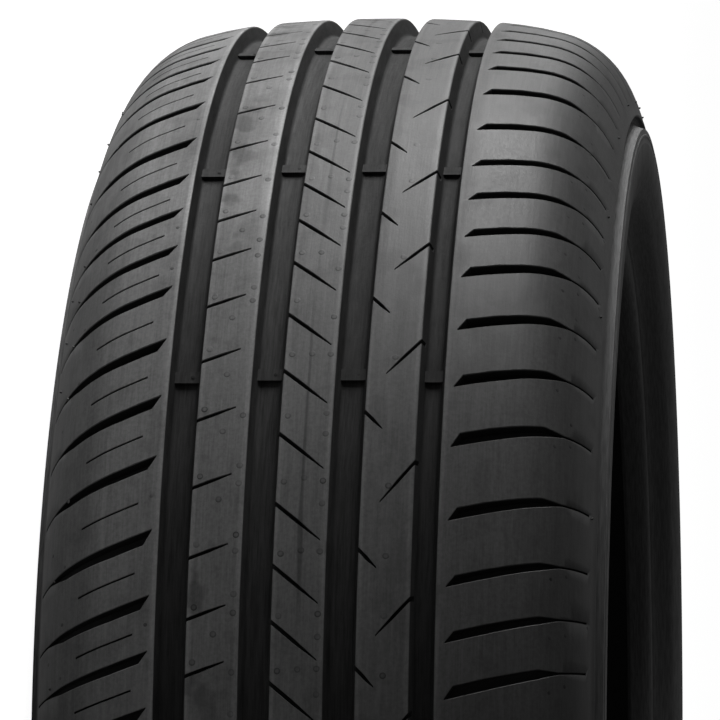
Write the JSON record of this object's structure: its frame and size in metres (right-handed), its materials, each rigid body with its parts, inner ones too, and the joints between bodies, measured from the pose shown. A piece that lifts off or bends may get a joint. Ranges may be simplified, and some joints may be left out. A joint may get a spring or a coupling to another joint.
{
  "type": "car tyre",
  "caption": "Low-profile car tyre with a ribbed asymmetric summer tread, slotted shoulders, smooth sidewalls and an open casing that seats on a drop-centre rim.",
  "frame": {"origin": "centre of the tyre, on its axle line and in the middle plane of the tread", "axes": "+Z along the axle towards the outer sidewall, the side that faces right in the picture; the tyre lies on its inner sidewall"},
  "size_m": [0.6344, 0.6344, 0.2186],
  "materials": {
    "rubber": "satin black moulded rubber"
  },
  "bodies": {
    "root": {"tyre": "rubber"}
  },
  "joints": []
}
